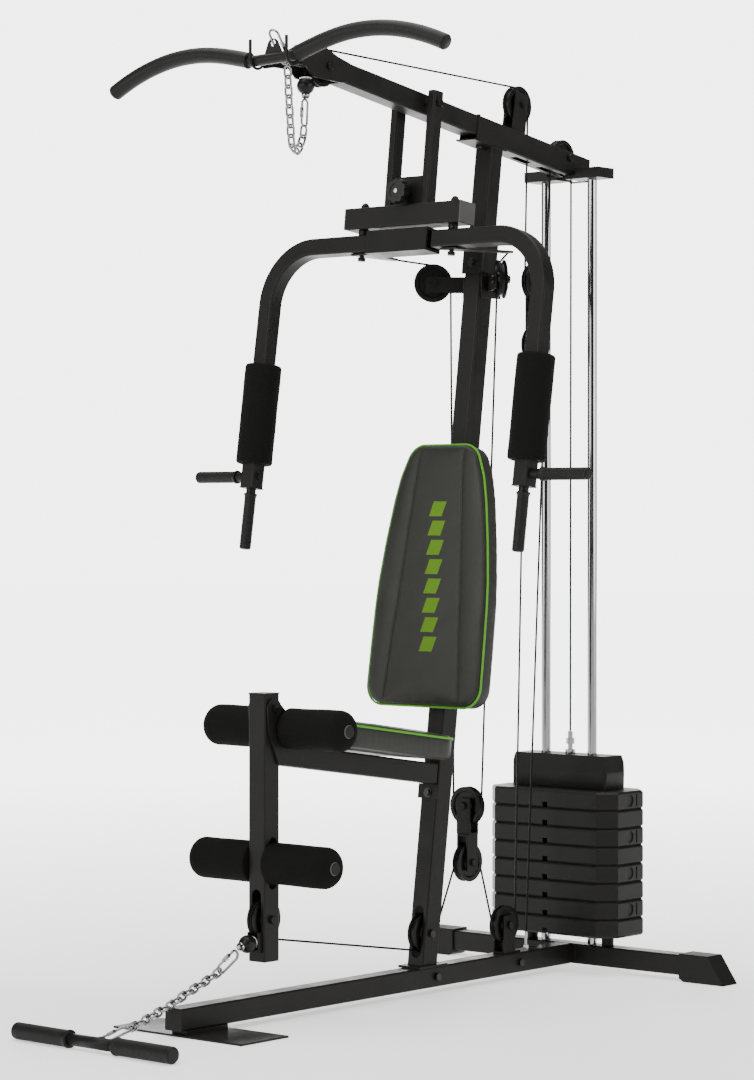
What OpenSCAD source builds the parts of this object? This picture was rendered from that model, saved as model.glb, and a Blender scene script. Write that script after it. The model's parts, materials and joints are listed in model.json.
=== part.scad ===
// Multi station home gym: weight stack at the back, leaning upright with boom, swing press with
// two butterfly arms, seat with leg lever, floating double pulley blocks and three steel cables.
// +Y is the rear with the weight stack, +Z is up, the floor is at z = 0.
// Left and right are as seen from the front, so the right side is +X.

/* [Frame] */
// distance that puts the origin under the middle of the model's length
origin_y = 51.9; // [0:0.1:120]
// outside size of the base, stabiliser and lever tubes
tube = 46; // [40:1:60]
// wall of every steel tube
wall = 2; // [1.5:0.5:3]
// lean of the upright from the vertical
upright_lean = 7.5; // [0:0.5:15]
// depth of the upright tube
upright_depth = 50; // [40:1:60]
// y of the upright's front face at floor level
upright_foot_y = 230; // [180:1:280]
// fall of the boom towards the rear
boom_fall = 8.93; // [0:0.5:15]
// height of the boom's top edge above the front zero
boom_top = 2017; // [1900:1:2100]
// fall of the seat beam towards the rear
seat_fall = 8; // [0:0.5:15]
// lean of the backrest from the vertical
back_lean = 8.2; // [0:0.5:15]

/* [Press] */
// hanger pivot above the boom, y and z
press_pivot = [246, 1955]; // [0:1:2200]
// lean of the hanger and the cross beam
press_lean = 6.5; // [0:0.5:15]
// distance from the hanger pivot to the cross beam's centre
hanger_drop = 250; // [200:1:300]
// distance from the hanger pivot to the arms' centre line
arm_drop = 306; // [280:1:330]
// x of the two arm pivots
arm_pivot_x = 128; // [110:1:150]
// lean of the two arms
arm_lean = 8.7; // [0:0.1:15]
// outside size of the arm tubes
arm_tube = 38; // [30:1:45]
// x of the arms' upright legs
arm_x = 388; // [340:1:420]
// bend radius of the arm tubes
arm_bend = 125; // [80:5:160]

/* [Pulleys and cables] */
// outside radius of every pulley
wheel_r = 43; // [35:1:50]
// radius of the cable's centre line on a pulley
wrap_r = 39.7; // [30:0.1:46]
// width of every pulley
wheel_w = 17; // [12:1:22]
// radius of every axle bolt
axle_r = 5; // [4:0.5:6]
// radius of the steel cables
cable_r = 2.4; // [1.5:0.1:4]

/* [Weights] */
// height of one weight plate
plate_h = 41.6; // [30:0.1:50]
// number of weight plates
plate_count = 8; // [1:1:12]
// underside of the lowest plate
stack_z = 87; // [70:1:120]
// radius of the guide rods
rod_r = 11; // [8:0.5:13]
// x of the guide rods
rod_x = 67; // [50:1:90]
// y of the guide rods
rod_y = 800; // [700:1:900]

/* [Hidden] */
fine = 48;
gap = 0.3;
running = 0.05;
bar_tilt = 2.1;
bar_yaw = 3.4;
bar_pos = [-4, -218, 2008];
hook_c = [-218, 2011];
hook_r = 21;
ball_r = 19;
stack_top = stack_z + plate_count * plate_h;
// wheel centres as [y, z] in the middle plane
nose_c = [-78, 2004];
top_c = [603, 1989];
rear_c = [768, 1881];
upright_c = [266, 133];
lever_c = [-253, 213];
base_c = [555, 123];
low_block_y = 422.5;
low_block_up = 402;
low_block_down = 275.5;
high_block_y = 672;
high_block_up = 1589;
high_block_down = 1445;
// right press pulley: centre and the turn of its axle; the left one is its mirror image
press_spot = [97, 419.5, 1577];
press_turn = 49.6;
press_c = [-press_spot[0], press_spot[1], press_spot[2]];
press_dir = [sin(press_turn), cos(press_turn), 0];
tab_hole = [165, 360, 1631];
lever_pivot = [-250, 651];
roller_low = [-249, 330];
roller_high = [-205, 608];
foam_r = 43.5;
row_pos = [0, -748.5, 17.5];

// ---- colours ----
module coat() color([0.17, 0.17, 0.16]) children();
module foam() color([0.06, 0.06, 0.06]) children();
module chrome() color([0.8, 0.8, 0.82]) children();
module dark() color([0.1, 0.1, 0.1]) children();
module cover() color([0.2, 0.2, 0.19]) children();
module cap_grey() color([0.45, 0.45, 0.43]) children();

// ---- frames: every part is drawn from the front zero and moved to the model's origin ----
module site() translate([0, -origin_y, 0]) children();
module upright_frame() site() translate([0, upright_foot_y, 0]) rotate([-upright_lean, 0, 0]) children();
module boom_frame() site() translate([0, 0, boom_top]) rotate([-boom_fall, 0, 0]) children();
module seat_frame() site() translate([0, 285, 460]) rotate([-seat_fall, 0, 0]) children();
module back_frame() site() translate([0, 303, 626]) rotate([-back_lean, 0, 0]) children();
module press_frame() site() translate([0, press_pivot[0], press_pivot[1]]) rotate([-press_lean, 0, 0]) children();
module arm_frame(side) {
  base = [side * arm_pivot_x,
    press_pivot[0] - arm_drop * sin(press_lean),
    press_pivot[1] - arm_drop * cos(press_lean)];
  site() translate(base) rotate([-arm_lean, 0, 0]) children();
}

// ---- shapes ----
module rounded_rect(w, h, r) {
  square([w - 2 * r, h], center = true);
  square([w, h - 2 * r], center = true);
  for (x = [-1, 1], y = [-1, 1])
    translate([x * (w / 2 - r), y * (h / 2 - r)]) circle(r = r, $fn = fine);
}

// square tube along +Z, w across X and h across Y
module tube_z(l, w, h, t = wall) linear_extrude(l) difference() {
  rounded_rect(w, h, 4);
  square([w - 2 * t, h - 2 * t], center = true);
}

// square tube along +Y, w across X and h across Z
module tube_y(l, w, h, t = wall) rotate([-90, 0, 0]) tube_z(l, w, h, t);

// square tube along +X, d across Y and h across Z
module tube_x(l, d, h, t = wall) rotate([0, 90, 0]) tube_z(l, h, d, t);

module slot_z(l, w, depth) linear_extrude(depth, center = true) {
  square([w, l - w], center = true);
  for (s = [-1, 1]) translate([0, s * (l - w) / 2]) circle(d = w, $fn = fine);
}

// plate of thickness t standing in a plane across X, drawn as [y, z]
module plate_x(t) rotate([90, 0, 90]) linear_extrude(t, center = true) children();

module rod_x(r, l) rotate([0, 90, 0]) cylinder(r = r, h = l, center = true, $fn = fine);
module rod_y(r, l) rotate([90, 0, 0]) cylinder(r = r, h = l, center = true, $fn = fine);

// bolt across X with a six sided head on one end and a nut on the other
module bolt_x(half) {
  rod_x(axle_r, 2 * half + 8);
  for (s = [-1, 1]) translate([s * (half + 3), 0, 0]) rotate([0, 90, 0]) cylinder(r = 9, h = 6, center = true, $fn = 6);
}

// bolt head on a face that looks along -Y
module bolt_head_y(r = 8) {
  rotate([90, 0, 0]) cylinder(r = r, h = 6, $fn = 6);
  rotate([90, 0, 0]) cylinder(r = r + 3, h = 1.6, $fn = fine);
}

// grooved pulley round its own Z axis
module wheel() rotate_extrude($fn = 96) polygon([
  [axle_r + running, -wheel_w / 2], [15, -wheel_w / 2], [17, -5], [31, -5], [34, -wheel_w / 2],
  [wheel_r, -wheel_w / 2], [wheel_r, -wheel_w / 2 + 2], [wrap_r - cable_r - gap, -3], [wrap_r - cable_r - gap, 3],
  [wheel_r, wheel_w / 2 - 2], [wheel_r, wheel_w / 2], [34, wheel_w / 2], [31, 5], [17, 5],
  [15, wheel_w / 2], [axle_r + running, wheel_w / 2]]);
module wheel_x(c) dark() site() translate([0, c[0], c[1]]) rotate([0, 90, 0]) wheel();

// roller of foam along +X with a rounded outer end
module foam_roller(l, r, nose, bore) rotate([0, 90, 0]) rotate_extrude($fn = 96) difference() {
  union() {
    square([r, l - nose]);
    square([r - nose, l]);
    translate([r - nose, l - nose]) intersection() {
      circle(r = nose, $fn = 96);
      square([nose, nose]);
    }
  }
  translate([-1, -1]) square([bore + 1, l + 2]);
}

// ---- cable routes ----
// a route is a list of [a, b, radius, sense]: sense +1 turns to the left, -1 to the right
function heading(p, q) = let (d = [q[0] - p[0], q[1] - p[1]])
  atan2(d[1], d[0]) - asin((q[3] * q[2] - p[3] * p[2]) / norm(d));
function touch(p, t) = [p[0] + p[3] * p[2] * sin(t), p[1] - p[3] * p[2] * cos(t)];
function turn(p, t_in, t_out) = let (
    swing = p[3] * ((p[3] * (t_out - t_in) + 720) % 360),
    steps = max(1, ceil(abs(swing) / 14)))
  [for (k = [0 : steps]) touch(p, t_in + swing * k / steps)];
function route(list) = let (last = len(list) - 1) concat(
  [[list[0][0], list[0][1]]],
  [for (i = [1 : last - 1]) each turn(list[i], heading(list[i - 1], list[i]), heading(list[i], list[i + 1]))],
  [[list[last][0], list[last][1]]]);
function in_middle(list) = [for (p = list) [0, p[0], p[1]]];
function unit(v) = v / norm(v);
function along(p, i) = unit(p[min(i + 1, len(p) - 1)] - p[max(i - 1, 0)]);

// round tube of radius r along the points p; side is never parallel to the route
module sweep(p, r, side, sides = 8) {
  n = len(p);
  rings = [for (i = [0 : n - 1]) let (t = along(p, i), u = unit(cross(t, side)), v = cross(u, t))
    each [for (k = [0 : sides - 1]) p[i] + r * (cos(360 * k / sides) * u + sin(360 * k / sides) * v)]];
  faces = concat(
    [[for (k = [0 : sides - 1]) k]],
    [for (i = [0 : n - 2], k = [0 : sides - 1])
      [i * sides + k, (i + 1) * sides + k, (i + 1) * sides + (k + 1) % sides, i * sides + (k + 1) % sides]],
    [[for (k = [sides - 1 : -1 : 0]) (n - 1) * sides + k]]);
  site() polyhedron(rings, faces, convexity = 10);
}

lat_route = route([[-122, 1975, 0, 0], [nose_c[0], nose_c[1], wrap_r, -1], [top_c[0], top_c[1], wrap_r, -1],
  [high_block_y, high_block_up, wrap_r, 1], [rear_c[0], rear_c[1], wrap_r, -1], [805, stack_top + 130.6, 0, 0]]);
low_route = route([[-300, 166, 0, 0], [lever_c[0], lever_c[1], wrap_r, 1], [upright_c[0], upright_c[1], wrap_r, 1],
  [low_block_y, low_block_down, wrap_r, -1], [base_c[0], base_c[1], wrap_r, 1],
  [high_block_y, high_block_down, wrap_r, -1], [637, 99.2, 0, 0]]);
press_side = route([[-74, 44, 0, 0], [0, 0, wrap_r, -1], [wrap_r, -300, 0, 0]]);
press_left = concat(
  [for (i = [0 : len(press_side) - 2])
    press_c + press_side[i][0] * press_dir + [0, 0, press_side[i][1]]],
  [for (a = [180 : 10 : 270])
    [wrap_r * cos(a), low_block_y, low_block_up + wrap_r * sin(a)]]);
press_route = concat(press_left,
  [for (i = [len(press_left) - 2 : -1 : 0]) [-press_left[i][0], press_left[i][1], press_left[i][2]]]);

// ---- chains: closed links, each turned a quarter against the last ----
function on_line(p, s, i = 0) = let (l = norm(p[i + 1] - p[i]))
  s <= l || i == len(p) - 2 ? p[i] + (p[i + 1] - p[i]) * s / l : on_line(p, s - l, i + 1);

module ring_link(a, b, side, long, wide, wire) {
  t = unit(b - a);
  u = unit(cross(t, side));
  mid = (a + b) / 2;
  steps = 16;
  flat = long / 2 - wide / 2;
  path = [for (k = [0 : steps - 1]) let (q = 360 * (k + 0.5) / steps)
    mid + t * (wide / 2 * cos(q) + flat * sign(cos(q))) + u * wide / 2 * sin(q)];
  normal = cross(t, u);
  rings = [for (i = [0 : steps - 1]) let (out = unit(path[i] - mid - t * flat * sign(cos(360 * (i + 0.5) / steps))))
    each [for (k = [0 : 5]) path[i] + wire * (cos(60 * k) * out + sin(60 * k) * normal)]];
  faces = [for (i = [0 : steps - 1], k = [0 : 5])
    [i * 6 + k, i * 6 + (k + 1) % 6, ((i + 1) % steps) * 6 + (k + 1) % 6, ((i + 1) % steps) * 6 + k]];
  site() polyhedron(rings, faces, convexity = 6);
}

module chain(p, count, pitch) for (i = [0 : count - 1])
  ring_link(on_line(p, i * pitch), on_line(p, (i + 1) * pitch), i % 2 == 0 ? [1, 0, 0] : [0, 0.6, 0.8], 22, 13, 1.9);

// ---- frame ----
module base_beam() coat() {
  site() difference() {
    translate([0, -520, 13 + tube / 2]) tube_y(1296, tube, tube);
    translate([0, upright_c[0] + 20, 36]) rod_x(axle_r + running, 80);
    translate([0, 585, 36]) rod_x(axle_r + running, 80);
  }
  site() translate([0, -521.5, 13 + tube / 2]) cube([tube, 3, tube], center = true);
}

module front_foot_plate() coat() {
  site() translate([-179, -515, 0]) cube([358, 141, 4]);
  site() translate([-21, -505, 4]) cube([42, 121, 8.9]);
}

module rear_stabilizer() coat() {
  site() translate([-400, 779 + tube / 2, 13 + tube / 2]) tube_x(800, tube, tube);
  site() translate([-35, 776.2, 16]) cube([70, 2.8, 40]);
}

module foot_cap(side) site() translate([side * 329, 802, 0]) mirror([side < 0 ? 1 : 0, 0, 0]) difference() {
  rotate([90, 0, 0]) linear_extrude(56, center = true) polygon([[0, 7], [0, 63], [78, 63], [121, 0], [12, 0]]);
  translate([-1, -tube / 2, 13]) cube([72.2, tube, tube]);
}

module rubber_feet() dark() {
  for (s = [-1, 1]) foot_cap(s);
  for (x = [-110, 110]) site() translate([x, 802, 59]) cylinder(r = 14, h = stack_z - 59 - gap, $fn = fine);
}

module lower_upright() coat() difference() {
  union() {
    upright_frame() translate([0, upright_depth / 2, 40]) tube_z(1570, tube, upright_depth);
    site() translate([-31, 218, 59]) cube([62, 96, 5]);
  }
  site() translate([-50, 150, -10]) cube([100, 250, 69]);
  upright_frame() translate([0, 0, 138]) rotate([90, 0, 0]) slot_z(114, 25, 40);
  upright_frame() translate([0, upright_depth, 132]) rotate([90, 0, 0]) slot_z(150, 25, 40);
  site() translate([0, upright_c[0], upright_c[1]]) rod_x(axle_r + running, 90);
  site() translate([0, 272, 62]) cube([40, 38, 8], center = true);
}

module upper_upright() coat() difference() {
  union() {
    upright_frame() translate([0, 24, 1610.3]) tube_z(290, tube, 44);
    upright_frame() translate([0, 25, 1612]) tube_z(100, 56, 54, 5);
    upright_frame() translate([-27, -5, 1609.8]) cube([54, 4.8, 70]);
    boom_frame() translate([-27, 429, -58.5]) cube([54, 116, 6]);
  }
  boom_frame() translate([-100, -200, -54.8]) cube([200, 1400, 200]);
}

module hinge_plate(side) site() translate([side * (tube / 2 + 3), 0, 0]) plate_x(4) difference() {
  union() {
    translate(lever_pivot) circle(r = 21, $fn = fine);
    polygon([[-271, 651], [-266, 600], [-238, 535], [-160, 525], [-165, 569], [-180, 612], [-231, 660]]);
  }
  translate(lever_pivot) circle(r = axle_r + 0.1, $fn = fine);
}

module seat_beam() coat() {
  difference() {
    union() {
      seat_frame() translate([0, -505, tube / 2]) tube_y(505, tube, tube);
      for (s = [-1, 1]) hinge_plate(s);
    }
    upright_frame() translate([-60, -0.1, 200]) cube([120, 80, 500]);
    site() translate([0, roller_high[0], roller_high[1]]) rod_x(12.4, 80);
  }
  site() translate([0, roller_high[0], roller_high[1]]) rod_x(12.5, 392);
  difference() {
    upright_frame() translate([-28, -5, 431]) cube([56, 4.8, 70]);
    seat_frame() translate([-40, -200, -0.2]) cube([80, 300, 200]);
    upright_frame() translate([0, -2, 444]) rod_y(5.05, 20);
  }
}

module seat_pad() cover() seat_frame() translate([0, -252, 51]) {
  linear_extrude(6) rounded_rect(250, 362, 36);
  translate([0, 0, 6]) linear_extrude(40) rounded_rect(262, 374, 40);
  translate([0, 0, 46]) linear_extrude(8) rounded_rect(236, 348, 36);
}

// half of the backrest is 160 wide below and narrows to the top
module back_outline(inset) offset(delta = -inset) hull() for (s = [-1, 1]) {
  translate([s * 113, 46]) circle(r = 45, $fn = 32);
  translate([s * 92, 300]) circle(r = 60, $fn = 32);
  translate([s * 70, 440]) circle(r = 60, $fn = 32);
  translate([s * 50, 537]) circle(r = 45, $fn = 32);
}

module backrest_pad() cover() back_frame() rotate([90, 0, 0]) {
  linear_extrude(6) back_outline(8);
  translate([0, 0, 6]) linear_extrude(36) back_outline(0);
  translate([0, 0, 42]) linear_extrude(14) back_outline(16);
}

module boom() coat() {
  difference() {
    boom_frame() translate([0, -52, -tube / 2]) tube_y(490, tube, tube);
    site() translate([0, press_pivot[0], press_pivot[1]]) rod_x(axle_r + running, 90);
    boom_frame() translate([-10, -60, -60]) cube([20, 40, 70]);
  }
  difference() {
    boom_frame() translate([0, 438.3, -27]) tube_y(421, 50, 55);
    site() translate([0, rear_c[0], rear_c[1]]) rod_x(axle_r + running, 90);
    boom_frame() translate([-10, 604, -70]) cube([20, 58, 90]);
    boom_frame() translate([-10, 700, -70]) cube([20, 150, 90]);
  }
  boom_frame() translate([-25, 438.3, -1.9]) cube([50, 6, 4]);
  difference() {
    site() translate([-107, 768, 1832]) cube([214, 62, 24]);
    boom_frame() translate([-40, 0, -54.6]) cube([80, 1200, 100]);
    for (s = [-1, 1]) site() translate([s * rod_x, rod_y, 1830]) cylinder(r = rod_r + 0.02, h = 20, $fn = fine);
    site() translate([-12, 760, 1800]) cube([24, 90, 90]);
  }
}

module nose_side(side) boom_frame() translate([side * (tube / 2 + 2.2), 0, 0]) plate_x(4) difference() {
  polygon([[-163, -14], [-160, -34], [-118, -60], [-30, -50], [-10, -44], [-10, -2], [-50, 2], [-92, 12], [-128, 10]]);
  translate([-75, -24.9]) circle(r = axle_r + 0.1, $fn = fine);
}

// rod that goes down in front of the lat bar, under it, and up to the nose plate
module lat_hook(x) site() translate([x, hook_c[0], hook_c[1]]) {
  translate([0, -hook_r, -1]) cylinder(r = 3.5, h = 39, $fn = fine);
  rotate([0, 0, 90]) rotate([-90, 0, 0]) rotate_extrude(angle = 180, $fn = 96) translate([hook_r, 0]) circle(r = 3, $fn = 32);
}

module boom_nose() coat() {
  for (s = [-1, 1]) nose_side(s);
  for (s = [-1, 1]) lat_hook(s * 51);
  for (s = [-1, 1]) site() translate([s * 39 - 16, -195.5, 1993]) cube([32, 5, 22]);
  for (s = [-1, 1]) site() translate([s * 25.2 - 2, -191.3, 1993]) cube([4, 38, 20]);
}

module guide_rods() chrome() for (s = [-1, 1])
  site() translate([s * rod_x, rod_y, 60]) cylinder(r = rod_r, h = 1790, $fn = fine);

module upper_foams() foam() for (s = [0, 1]) mirror([s, 0, 0])
  site() translate([31, roller_high[0], roller_high[1]]) foam_roller(164, foam_r, 30, 12.8);

// ---- brackets and bolts fixed to the frame ----
module side_bracket(side) mirror([side < 0 ? 1 : 0, 0, 0]) site() {
  difference() {
    translate(press_spot) rotate([0, 0, 90 + press_turn])
      for (s = [-1, 1]) translate([-16, s * 12 - 2, -22]) cube([130, 4, 35]);
    translate([-60, 380, 1500]) cube([85.2, 240, 200]);
    translate(press_spot) rotate([0, 0, press_turn]) rod_x(axle_r + 0.02, 50);
  }
  translate([23.2, 440, 1540]) cube([4, 68, 48]);
}

// upright bracket on the boom or the base: two cheeks and a foot, the wheel at [y, z] over its corner
module cheeks(depth, height, wheel) {
  for (s = [-1, 1]) translate([s * 14 - 2, 0, 0]) difference() {
    cube([4, depth, height]);
    translate([2, wheel[0], wheel[1]]) rod_x(axle_r + 0.02, 10);
  }
}

module frame_brackets() coat() {
  boom_frame() translate([0, 574, 0.6]) {
    cheeks(46, 92, [26, 65.3]);
    difference() {
      translate([-16, 0, 0]) cube([32, 46, 4]);
      translate([-10, 26, -1]) cube([20, 30, 8]);
    }
  }
  site() translate([0, 535, 59]) {
    cheeks(40, 86, [base_c[0] - 535, base_c[1] - 59]);
    translate([-16, 0, 0]) cube([32, 60, 4]);
  }
  for (s = [-1, 1]) side_bracket(s);
  for (strap = [[760, 6.4], [1060, 3.2]])
    upright_frame() translate([-75, -0.5 - strap[1], strap[0] - 20]) cube([150, strap[1], 40]);
}

module dome_nut(r) {
  cylinder(r = r, h = 8, $fn = 6);
  translate([0, 0, 7]) intersection() {
    sphere(r = r * 0.8, $fn = fine);
    cylinder(r = r, h = r, $fn = fine);
  }
}

module frame_bolts() dark() {
  site() translate([0, press_pivot[0], press_pivot[1]]) bolt_x(63);
  site() translate([0, nose_c[0], nose_c[1]]) bolt_x(28);
  site() translate([0, top_c[0], top_c[1]]) bolt_x(17);
  site() translate([0, rear_c[0], rear_c[1]]) bolt_x(26);
  site() translate([0, upright_c[0], upright_c[1]]) bolt_x(24);
  site() translate([0, base_c[0], base_c[1]]) bolt_x(17);
  site() translate([0, lever_pivot[0], lever_pivot[1]]) bolt_x(29);
  site() translate([0, 585, 36]) bolt_x(24);
  site() translate([0, 286, 36]) bolt_x(24);
  for (s = [-1, 1]) mirror([s < 0 ? 1 : 0, 0, 0]) site()
    translate(press_spot) rotate([0, 0, press_turn]) bolt_x(15);
  boom_frame() translate([0, 479, -65.4]) cylinder(r = 8, h = 6.2, $fn = 6);
  upright_frame() translate([0, -5, 444]) bolt_head_y();
  upright_frame() translate([0, -5, 1634]) bolt_head_y();
}

module cable_terminals() chrome() {
  site() translate([0, 637, 59.3]) cylinder(r = 6.5, h = 9, $fn = 6);
  site() translate([0, 637, 68]) cylinder(r = 3.4, h = 31, $fn = fine);
}

module stop_ball(c, dir) color([0.09, 0.09, 0.09]) site() translate(c) rotate([dir, 0, 0]) {
  difference() {
    sphere(r = ball_r, $fn = fine);
    cylinder(r = cable_r + 0.4, h = 60, center = true, $fn = fine);
  }
  translate([0, 0, -26]) difference() {
    cylinder(r = 7.5, h = 11, $fn = fine);
    translate([0, 0, -1]) cylinder(r = cable_r + 0.4, h = 40, $fn = fine);
  }
}
module lat_ball() stop_ball([0, -122, 1959.5], 0);
module low_ball() stop_ball([0, -303, 165.6], -81.7);

// ---- pulleys ----
module nose_pulley() wheel_x(nose_c);
module top_pulley() wheel_x(top_c);
module rear_pulley() wheel_x(rear_c);
module upright_pulley() wheel_x(upright_c);
module base_pulley() wheel_x(base_c);
module lever_pulley() wheel_x(lever_c);
module low_block_lower_wheel() wheel_x([low_block_y, low_block_down]);
module high_block_upper_wheel() wheel_x([high_block_y, high_block_up]);
module high_block_lower_wheel() wheel_x([high_block_y, high_block_down]);
module low_block_upper_wheel() dark() site() translate([0, low_block_y, low_block_up]) rotate([90, 0, 0]) wheel();
module press_wheel(side) dark() mirror([side < 0 ? 1 : 0, 0, 0]) site()
  translate(press_spot) rotate([0, 0, press_turn]) rotate([0, 90, 0]) wheel();
module press_pulley_left() press_wheel(-1);
module press_pulley_right() press_wheel(1);

// U bracket open along +Z, its wheel axis along X at height h
module u_bracket(h) {
  for (s = [-1, 1]) translate([s * 13 - 2, -19, 0]) difference() {
    cube([4, 38, h + 18]);
    translate([2, 19, h]) rod_x(axle_r - 0.02, 10);
  }
  translate([-15, -19, 0]) cube([30, 38, 4]);
  translate([0, 0, h]) bolt_x(15);
}

module low_block_frame() coat() site() translate([0, low_block_y, (low_block_up + low_block_down) / 2]) {
  rotate([0, 0, 90]) u_bracket((low_block_up - low_block_down) / 2);
  mirror([0, 0, 1]) u_bracket((low_block_up - low_block_down) / 2);
}

module high_block_frame() coat() site() translate([0, high_block_y, (high_block_up + high_block_down) / 2]) {
  u_bracket((high_block_up - high_block_down) / 2);
  mirror([0, 0, 1]) u_bracket((high_block_up - high_block_down) / 2);
}

// ---- weight stack ----
module plate_outline(inset) offset(delta = -inset)
  polygon([[-147, -93], [147, -93], [183, -57], [183, 40], [147, 76], [-147, 76], [-183, 40], [-183, -57]]);

module weight_plate(i) color([0.15, 0.15, 0.14]) site()
  translate([0, rod_y, stack_top - i * plate_h]) difference() {
  hull() {
    translate([0, 0, 4.5]) linear_extrude(plate_h - 9) plate_outline(0);
    linear_extrude(plate_h) plate_outline(4);
  }
  for (s = [-1, 1]) translate([s * rod_x, 0, -1]) cylinder(r = rod_r + 0.6, h = plate_h + 2, $fn = fine);
  translate([0, 0, -1]) cylinder(r = 10, h = plate_h + 2, $fn = fine);
  translate([-7, -100, -1]) cube([14, 92, 14]);
  if (i % 2 == 1) for (s = [-1, 1]) translate([s * 183, 0, plate_h / 2]) {
    translate([0, -12, 0]) rod_x(14, 5);
    translate([0, 14, 0]) cube([5, 5, plate_h - 14], center = true);
  }
}
module weight_plate_1() weight_plate(1);
module weight_plate_2() weight_plate(2);
module weight_plate_3() weight_plate(3);
module weight_plate_4() weight_plate(4);
module weight_plate_5() weight_plate(5);
module weight_plate_6() weight_plate(6);
module weight_plate_7() weight_plate(7);
module weight_plate_8() weight_plate(8);

module top_weight() color([0.15, 0.15, 0.14]) difference() {
  site() translate([0, 797, stack_top + gap]) intersection() {
    plate_x(273) polygon([[-38, 0], [38, 0], [43, 38], [35, 78], [-35, 78], [-43, 38]]);
    rotate([90, 0, 0]) linear_extrude(100, center = true)
      polygon([[-132, -1], [132, -1], [137, 38], [128, 79], [-128, 79], [-137, 38]]);
    linear_extrude(79) polygon([[-137, -33], [-127, -44], [127, -44], [137, -33], [137, 33], [127, 44], [-127, 44], [-137, 33]]);
  }
  for (s = [-1, 1]) site() translate([s * rod_x, rod_y, 400]) cylinder(r = rod_r + 0.6, h = 120, $fn = fine);
}

module selector_rod() chrome() {
  difference() {
    site() translate([0, rod_y, stack_z + 4]) cylinder(r = 8.5, h = stack_top - stack_z - 4 + gap, $fn = fine);
    for (i = [1 : plate_count]) site() translate([0, rod_y, stack_top - i * plate_h + 8]) rod_y(5, 40);
  }
  site() translate([0, 805, stack_top + 78 + gap]) cylinder(r = 12, h = 10, $fn = fine);
  site() translate([0, 805, stack_top + 88 + gap]) cylinder(r = 6, h = 42, $fn = fine);
  site() translate([0, 805, stack_top + 100 + gap]) cylinder(r = 10.5, h = 14, $fn = 12);
}

// ---- leg lever ----
module lever_post() coat() {
  difference() {
    site() translate([0, -252.5, 126]) tube_z(555, tube, tube);
    site() translate([0, -251, 330]) rotate([90, 0, 90]) slot_z(108, 25, 80);
    site() translate([0, -276, 213]) rotate([90, 0, 0]) slot_z(126, 25, 20);
    site() translate([0, -229, 200]) rotate([90, 0, 0]) slot_z(110, 25, 20);
    site() translate([0, lever_c[0], lever_c[1]]) rod_x(axle_r - 0.02, 80);
    site() translate([0, lever_pivot[0], lever_pivot[1]]) rod_x(axle_r + running, 80);
  }
  site() translate([0, -252.5, 682.5]) cube([tube, tube, 3], center = true);
  site() translate([0, -252.5, 127.5]) cube([tube - 4, tube - 4, 3], center = true);
  site() translate([0, roller_low[0], roller_low[1]]) rod_x(12.5, 392);
  for (y = [-269, -232]) site() translate([0, y, 330]) cube([tube - 4, 7, 20], center = true);
  for (s = [-1, 1]) site() translate([s * 13.5 - 1.5, -287.3, 146]) cube([3, 11.5, 42]);
  site() translate([0, lever_c[0], lever_c[1]]) bolt_x(24);
}

module lower_foams() foam() for (s = [0, 1]) mirror([s, 0, 0])
  site() translate([24, roller_low[0], roller_low[1]]) foam_roller(171, foam_r, 30, 12.8);

// ---- press frame ----
module press_hanger() coat() {
  for (s = [-1, 1]) press_frame() translate([s * 51.5, 0, 0]) difference() {
    translate([0, 0, -hanger_drop + 24]) tube_z(hanger_drop + 2, 20, 32);
    rod_x(axle_r + running, 40);
  }
  press_frame() translate([-162, 0, -hanger_drop]) tube_x(324, 52, 48);
  press_frame() translate([-41.3, -10, -hanger_drop + 24]) difference() {
    cube([82.6, 4, 64]);
    translate([41.3, 2, 25]) rod_y(6.05, 20);
  }
  for (s = [-1, 1]) press_frame() translate([s * arm_pivot_x, 0, 0]) {
    translate([0, 0, -hanger_drop + 24]) dome_nut(10);
    translate([0, 0, -hanger_drop - 24 - 11]) cylinder(r = 11, h = 11, $fn = fine);
    translate([0, 0, -arm_drop - 36]) cylinder(r = axle_r, h = 34 + arm_drop - hanger_drop, $fn = fine);
    translate([0, 0, -arm_drop - 36]) cylinder(r = 9, h = 8, $fn = 6);
  }
}

module crossbeam_caps() cap_grey() for (s = [-1, 1])
  press_frame() translate([s * 163.6, 0, -hanger_drop]) cube([3, 51, 47], center = true);

module lock_knob() dark() press_frame() translate([0, 0, -hanger_drop + 49]) {
  difference() {
    translate([0, -52, 0]) rotate([-90, 0, 0]) cylinder(r = 27, h = 17, $fn = 96);
    for (a = [0 : 40 : 320]) translate([30 * cos(a), -44, 30 * sin(a)]) rod_y(6, 30);
    translate([0, -53, 0]) rotate([-90, 0, 0]) cylinder(r = 17, h = 3, $fn = fine);
  }
  translate([0, -35, 0]) rotate([-90, 0, 0]) cylinder(r = 12, h = 24, $fn = fine);
  translate([0, -12, 0]) rotate([-90, 0, 0]) cylinder(r = 6, h = 30, $fn = fine);
}

// ---- swing arms: inner is how far the tube runs inwards from its pivot ----
module arm_hole(side) press_frame() translate([side * arm_pivot_x, 0, -arm_drop - 50])
  cylinder(r = axle_r + running, h = 100, $fn = fine);

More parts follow.
